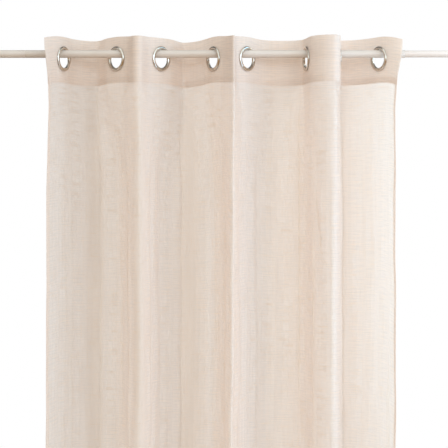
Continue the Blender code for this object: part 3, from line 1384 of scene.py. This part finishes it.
def turned(name: str, profile: list[tuple[float, float]], steps: int) -> bpy.types.Mesh:
    """Turn a profile that forms a loop about Z.

    Args:
        name: the mesh's name.
        profile: (radius, height) points, in order.
        steps: how many steps go round.

    Returns:
        The mesh, with its seam welded.
    """
    shape = bmesh.new()
    loop = [shape.verts.new((radius, 0.0, height)) for radius, height in profile]
    edges = [shape.edges.new(pair) for pair in zip(loop, loop[1:] + loop[:1])]
    bmesh.ops.spin(
        shape,
        geom=loop + edges,
        cent=(0, 0, 0),
        axis=(0, 0, 1),
        angle=math.tau,
        steps=steps,
        use_merge=True,
    )
    bmesh.ops.remove_doubles(shape, verts=shape.verts, dist=SAME_PLACE)
    bmesh.ops.recalc_face_normals(shape, faces=shape.faces)
    mesh = bpy.data.meshes.new(name)
    shape.to_mesh(mesh)
    shape.free()
    mesh.shade_smooth()
    return mesh


def arc(
    centre: tuple[float, float], reach: tuple[float, float], start: float, end: float, count: int
) -> list[tuple[float, float]]:
    """Points along a stretch of an ellipse.

    Args:
        centre: its centre.
        reach: its two half widths.
        start: where it starts, in degrees.
        end: where it ends, in degrees.
        count: how many points to give.

    Returns:
        The points.
    """
    angles = np.radians(np.linspace(start, end, count))
    return [
        (centre[0] + reach[0] * math.cos(angle), centre[1] + reach[1] * math.sin(angle))
        for angle in angles
    ]


@dataclass
class PressedEyelet:
    """A curtain eyelet: a domed front ring with a barrel, and a flatter back ring."""

    cut: PanelCut
    plan: FoldPlan
    finish: BrightNickel
    inner: float = 0.0200
    outer: float = 0.0275
    barrel_wall: float = 0.0010
    groove: float = 0.0014
    front_height: float = 0.0022
    back_height: float = 0.0014
    lip: float = 0.0006
    lip_share: float = 0.7
    front_points: int = 17
    back_points: int = 13
    steps: int = 96

    def profile(self) -> list[tuple[float, float]]:
        """Draw half a section through the ring.

        Returns:
            (radius, height) points, from the front of the barrel round and back to it.
        """
        middle = (self.inner + self.outer) / 2
        reach = (self.outer - self.inner) / 2
        barrel = self.inner + self.barrel_wall
        lip = self.outer - self.lip
        edge = self.groove * self.lip_share
        front = arc((middle, self.groove), (reach, self.front_height), 180, 0, self.front_points)
        back = arc((middle, -self.groove), (reach, self.back_height), 0, -180, self.back_points)
        return [*front, (lip, edge), (barrel, edge), (barrel, -edge), (lip, -edge), *back]

    def build(self) -> list[bpy.types.Object]:
        """Make the rings, each square to the cloth that it is pressed into.

        Returns:
            The rings, from the left.
        """
        metal = self.finish.material()
        pieces = []
        for index, station in enumerate(self.plan.stations):
            name = f"nickel_eyelet_{index + 1}"
            mesh = turned(name, self.profile(), self.steps)
            turn = Matrix.Rotation(self.plan.heading_direction(index), 4, "Z")
            tilt = Matrix.Rotation(math.pi / 2, 4, "X")
            place = Matrix.Translation((station.head, 0.0, self.cut.eyelet_height))
            mesh.transform(place @ turn @ tilt)
            piece = add_piece(name, mesh, metal)
            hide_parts(f"eyelet_{index + 1}")
            report(piece)
            pieces.append(piece)
        return pieces


@dataclass(frozen=True)
class Tube:
    """One tube of the rod: its piece, the solid and the slot that it stands for, its
    finish, its outer diameter, its two ends, and where a seam is rolled round it."""

    name: str
    node: str
    slot: str
    finish: RodEnamel
    diameter: float
    start: float
    end: float
    seams: tuple[float, ...] = ()


@dataclass
class TelescopicRod:
    """Two steel tubes, the narrow one sliding in the wide one's rolled end. Both are in one
    enamel, drawn darker on the wide tube as painted shade and lighter on the narrow one
    as painted light.
    """

    wide: RodEnamel
    narrow: RodEnamel
    wide_diameter: float = 0.0170
    narrow_diameter: float = 0.0150
    left: float = -0.600
    right: float = 0.600
    wide_end: float = 0.398
    overlap: float = 0.058
    wall: float = 0.0007
    rim: float = 0.0006
    seam_at: float = -0.437
    seam_width: float = 0.0016
    seam_depth: float = 0.0003
    seam_taper: float = 3.0
    sharp_degrees: float = 50.0
    steps: int = 64

    def shape(self, tube: Tube) -> bpy.types.Mesh:
        """Make one tube along X.

        Args:
            tube: what the tube is.

        Returns:
            The mesh, with its ends and seams sharp.
        """
        radius = tube.diameter / 2
        bore = radius - self.wall
        half = self.seam_width / 2
        half_floor = half / self.seam_taper
        outside = [(radius - self.rim / 2, tube.start), (radius, tube.start + self.rim)]
        for seam in tube.seams:
            outside += [
                (radius, seam - half),
                (radius - self.seam_depth, seam - half_floor),
                (radius - self.seam_depth, seam + half_floor),
                (radius, seam + half),
            ]
        outside += [(radius, tube.end - self.rim), (radius - self.rim / 2, tube.end)]
        mesh = turned(tube.name, [*outside, (bore, tube.end), (bore, tube.start)], self.steps)
        mesh.transform(Matrix.Rotation(math.pi / 2, 4, "Y"))
        mesh.set_sharp_from_angle(angle=math.radians(self.sharp_degrees))
        return mesh

    def build(self) -> None:
        """Make both tubes."""
        wide = Tube(
            name="rod_wide",
            node="rod_wide_tube",
            slot="rod_greige_paint",
            finish=self.wide,
            diameter=self.wide_diameter,
            start=self.left,
            end=self.wide_end,
            seams=(self.seam_at,),
        )
        narrow = Tube(
            name="rod_narrow",
            node="rod_narrow_tube",
            slot="rod_white_paint",
            finish=self.narrow,
            diameter=self.narrow_diameter,
            start=self.wide_end - self.overlap,
            end=self.right,
        )
        for tube in (wide, narrow):
            piece = add_piece(tube.name, self.shape(tube), tube.finish.material())
            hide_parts(tube.node)
            report(piece)


# ----------------------------------------------------------------------------- studio


@dataclass(frozen=True)
class SoftBox:
    """A soft studio lamp: where it stands, its size, power and colour, and what it
    points at, which is the middle of what the camera sees of the cloth."""

    name: str
    place: tuple[float, float, float]
    size: tuple[float, float]
    power: float
    colour: str
    target: tuple[float, float, float] = (0.0, 0.0, -0.5)

    def build(self) -> None:
        """Add the lamp."""
        lamp = bpy.data.lights.new(self.name, "AREA")
        lamp.shape = "RECTANGLE"
        lamp.size, lamp.size_y = self.size
        lamp.energy = self.power
        lamp.color = linear(self.colour)[:3]
        holder = bpy.data.objects.new(self.name, lamp)
        holder.location = self.place
        aim = Vector(self.target) - Vector(self.place)
        holder.rotation_euler = aim.to_track_quat("-Z", "Y").to_euler()
        holder.visible_camera = False
        bpy.context.scene.collection.objects.link(holder)


@dataclass
class Studio:
    """A white sweep, a pale floor, soft lamps and the camera."""

    floor_height: float = -2.400
    floor_size: float = 3.6
    floor_colour: str = "#E9E4DE"
    floor_roughness: float = 0.7
    distance: float = 3.8
    eye_height: float = -0.374
    view_width: float = 0.9856
    sensor_mm: float = 36.0
    ambient: float = 1.273
    above_front: str = "#F7FFFE"
    below_front: str = "#9F7D4D"
    above_back: str = "#6E6E6E"
    below_back: str = "#4F4F4F"
    horizon_blur: float = 0.1
    lamps: tuple[SoftBox, ...] = (
        SoftBox("right_near", (1.109, -0.640, -0.274), (0.5, 1.4), 7.0, "#B3DBFF"),
        SoftBox("right_front", (1.576, -2.729, 0.056), (1.2, 1.8), 21.4, "#F3FAFF"),
        SoftBox("front_fill", (0.0, -2.74, 0.72), (1.4, 1.0), 11.9, "#B7E3FF"),
        SoftBox("right_side", (1.134, 0.099, -0.34), (0.4, 1.6), 7.2, "#AEE0FF"),
        SoftBox("right_behind", (1.029, 0.594, -0.333), (0.5, 1.6), 4.2, "#FCFFF8"),
        SoftBox("right_far", (1.182, 2.047, -0.083), (1.0, 1.6), 12.0, "#FFD7A2"),
    )

    def build_camera(self) -> None:
        """Set the camera level, square to the rod."""
        lens = bpy.data.cameras.new("camera")
        lens.sensor_width = self.sensor_mm
        lens.lens = self.sensor_mm * self.distance / self.view_width
        camera = bpy.data.objects.new("camera", lens)
        camera.location = (0.0, -self.distance, self.eye_height)
        camera.rotation_euler = (math.pi / 2, 0.0, 0.0)
        bpy.context.scene.collection.objects.link(camera)
        bpy.context.scene.camera = camera

    def build_floor(self) -> None:
        """Lay the pale floor, which isn't part of the curtain."""
        half = self.floor_size / 2
        corners = [(-half, -half, 0), (half, -half, 0), (half, half, 0), (-half, half, 0)]
        mesh = bpy.data.meshes.new("floor")
        mesh.from_pydata(corners, [], [(0, 1, 2, 3)])
        floor = bpy.data.objects.new("floor", mesh)
        floor.location = (0.0, 0.0, self.floor_height)
        bpy.context.scene.collection.objects.link(floor)
        sheet = NodeSheet(bpy.data.materials.new("pale_floor"))
        shader = sheet.add(
            "BsdfPrincipled",
            {"Base Color": linear(self.floor_colour), "Roughness": self.floor_roughness},
        )
        sheet.add("OutputMaterial", {"Surface": shader.outputs[0]})
        mesh.materials.append(sheet.owner)

    def build_world(self) -> None:
        """Make the surround: white to look at, and as a light bright from the front
        above, brown from the front below, and dim from the back."""
        world = bpy.data.worlds.new("white_sweep")
        bpy.context.scene.world = world
        sheet = NodeSheet(world)
        direction = sheet.add("TexCoord").outputs["Generated"]
        _, depth, rise = sheet.add("SeparateXYZ", {0: direction}).outputs
        blur = self.horizon_blur
        from_front, from_above = (
            sheet.add("MapRange", {0: part, 1: -blur, 2: blur, 3: low, 4: high}).outputs[0]
            for part, low, high in ((depth, 1.0, 0.0), (rise, 0.0, 1.0))
        )
        sides = ((self.below_back, self.below_front), (self.above_back, self.above_front))
        below, above = (
            sheet.add(
                "Mix", {0: from_front, 6: linear(back), 7: linear(front)}, data_type="RGBA"
            ).outputs[2]
            for back, front in sides
        )
        colour = sheet.add("Mix", {0: from_above, 6: below, 7: above}, data_type="RGBA").outputs[2]
        lighting = sheet.add("Background", {"Color": colour, "Strength": self.ambient})
        backdrop = sheet.add("Background", {"Color": (1.0, 1.0, 1.0, 1.0)})
        seen = sheet.add("LightPath").outputs["Is Camera Ray"]
        both = sheet.add("MixShader", {0: seen, 1: lighting.outputs[0], 2: backdrop.outputs[0]})
        sheet.add("OutputWorld", {"Surface": both.outputs[0]})

    def build(self) -> None:
        """Set the whole studio up."""
        bpy.context.scene.view_settings.view_transform = "Standard"
        self.build_camera()
        self.build_floor()
        self.build_world()
        for lamp in self.lamps:
            lamp.build()


def main() -> None:
    """Build the curtain, its rod and the studio in order."""
    logging.basicConfig(level=logging.INFO, format="%(message)s")
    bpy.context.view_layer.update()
    cut = PanelCut()
    plan = FoldPlan(cut)
    Studio().build()
    # Both tubes are the same warm white enamel: the wide tube's coat is drawn darker as painted
    # shade and the narrow tube's lighter as painted light, for light that falls more strongly from
    # the right.
    TelescopicRod(
        wide=RodEnamel("rod_enamel_painted_shade", "#D8CCC2", "#CFC0B5"),
        narrow=RodEnamel("rod_enamel_painted_light", "#E2D5CC", "#DCCCC2"),
    ).build()
    eyelets = PressedEyelet(cut, plan, BrightNickel()).build()
    VoilePanel(cut, plan, LinenVoile(), SewingThread()).build(eyelets)


if __name__ == "__main__":
    main()
